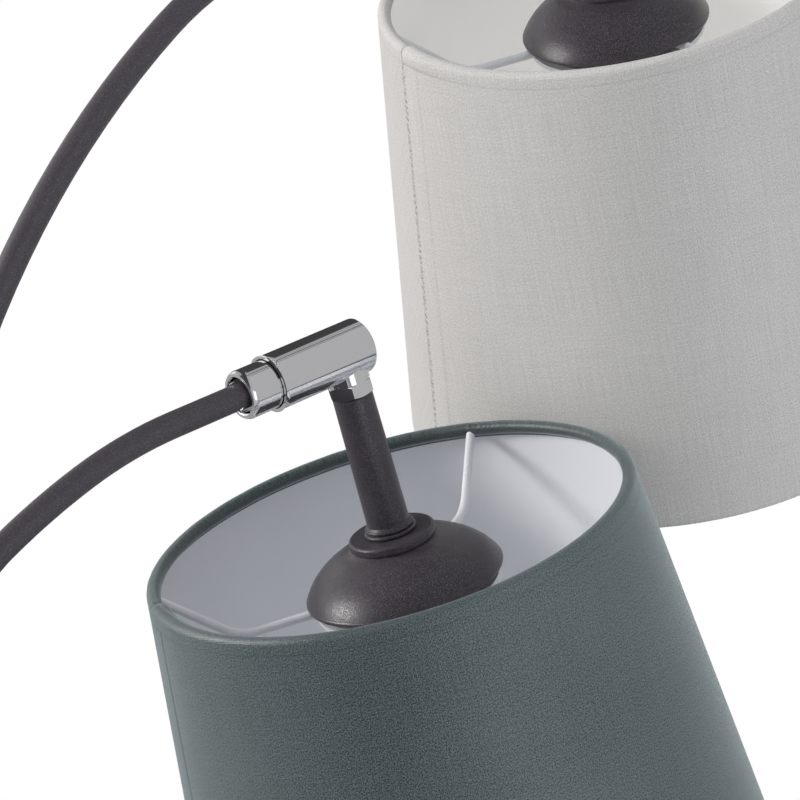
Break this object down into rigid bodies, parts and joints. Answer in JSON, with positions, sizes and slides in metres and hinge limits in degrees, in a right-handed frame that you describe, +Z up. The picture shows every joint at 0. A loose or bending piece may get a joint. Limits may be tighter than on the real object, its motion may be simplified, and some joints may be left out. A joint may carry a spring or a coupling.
{
  "type": "tree floor lamp",
  "caption": "Floor lamp with a round weighted base, a slim pole and arched arms, each with a swivelling tapered fabric shade.",
  "frame": {"origin": "middle of the base's underside, on the floor", "axes": "+Z up the pole, +X towards the side on which the lower two arms reach, +Y square to both"},
  "size_m": [0.8652, 0.2948, 1.5517],
  "materials": {
    "black_paint": "satin black paint",
    "black_sand": "fine sand-textured black powder coat",
    "chrome": "polished chrome plate",
    "zinc_steel": "zinc plated",
    "cast_weight": "raw casting",
    "foam_pad": "matte foam rubber",
    "black_plastic": "moulded, matte",
    "white_plastic": "moulded, semi-gloss",
    "shell_brass": "bright rolled brass",
    "white_wire": "white powder coat",
    "white_liner": "smooth translucent styrene sheet",
    "cloth_green": "dark green-grey satin weave",
    "cloth_cream": "light warm grey slub weave",
    "cloth_grey": "mid grey slub weave"
  },
  "bodies": {
    "stand": {"base_cover": "black_paint", "base_weight": "cast_weight", "base_pad": "foam_pad", "base_tube": "zinc_steel", "cord_bush": "black_plastic", "base_nut": "zinc_steel", "pole_foot": "black_paint", "pole_lower": "black_paint", "pole_middle": "black_paint", "pole_upper": "black_paint", "pole_joiners": "zinc_steel", "hub_body": "black_paint", "hub_screws": "zinc_steel", "hub_ferrules": "chrome", "arm_a": "black_paint", "collar_a": "chrome", "snap_ring_a": "zinc_steel", "arm_b": "black_paint", "collar_b": "chrome", "snap_ring_b": "zinc_steel", "arm_c": "black_paint", "collar_c": "chrome", "snap_ring_c": "zinc_steel"},
    "head_a": {"barrel_a": "chrome", "lock_nut_a": "chrome", "stem_a": "black_sand", "bell_a": "black_sand", "lampholder_a": "white_plastic", "screw_shell_a": "shell_brass", "contact_a": "shell_brass", "clamp_ring_a": "white_plastic", "shade_frame_a": "white_wire", "shade_ring_a": "white_wire", "shade_liner_a": "white_liner", "shade_cover_a": "cloth_green"},
    "head_b": {"barrel_b": "chrome", "lock_nut_b": "chrome", "stem_b": "black_sand", "bell_b": "black_sand", "lampholder_b": "white_plastic", "screw_shell_b": "shell_brass", "contact_b": "shell_brass", "clamp_ring_b": "white_plastic", "shade_frame_b": "white_wire", "shade_ring_b": "white_wire", "shade_liner_b": "white_liner", "shade_cover_b": "cloth_cream"},
    "head_c": {"barrel_c": "chrome", "lock_nut_c": "chrome", "stem_c": "black_sand", "bell_c": "black_sand", "lampholder_c": "white_plastic", "screw_shell_c": "shell_brass", "contact_c": "shell_brass", "clamp_ring_c": "white_plastic", "shade_frame_c": "white_wire", "shade_ring_c": "white_wire", "shade_liner_c": "white_liner", "shade_cover_c": "cloth_grey"}
  },
  "joints": [
    {"name": "swivel_a", "type": "hinge", "parent": "stand", "child": "head_a", "pos_m": [0.1525, 0, 1.3], "axis": [0.9627, 0, 0.2706], "range_deg": [-75, 0]},
    {"name": "swivel_b", "type": "hinge", "parent": "stand", "child": "head_b", "pos_m": [0.26065, 0.01138, 1.4746], "axis": [0.9308, 0.0406, 0.3633], "range_deg": [0, 75]},
    {"name": "swivel_c", "type": "hinge", "parent": "stand", "child": "head_c", "pos_m": [-0.2508, 0, 1.541], "axis": [-0.9511, 0, 0.309], "range_deg": [-75, 75]}
  ]
}
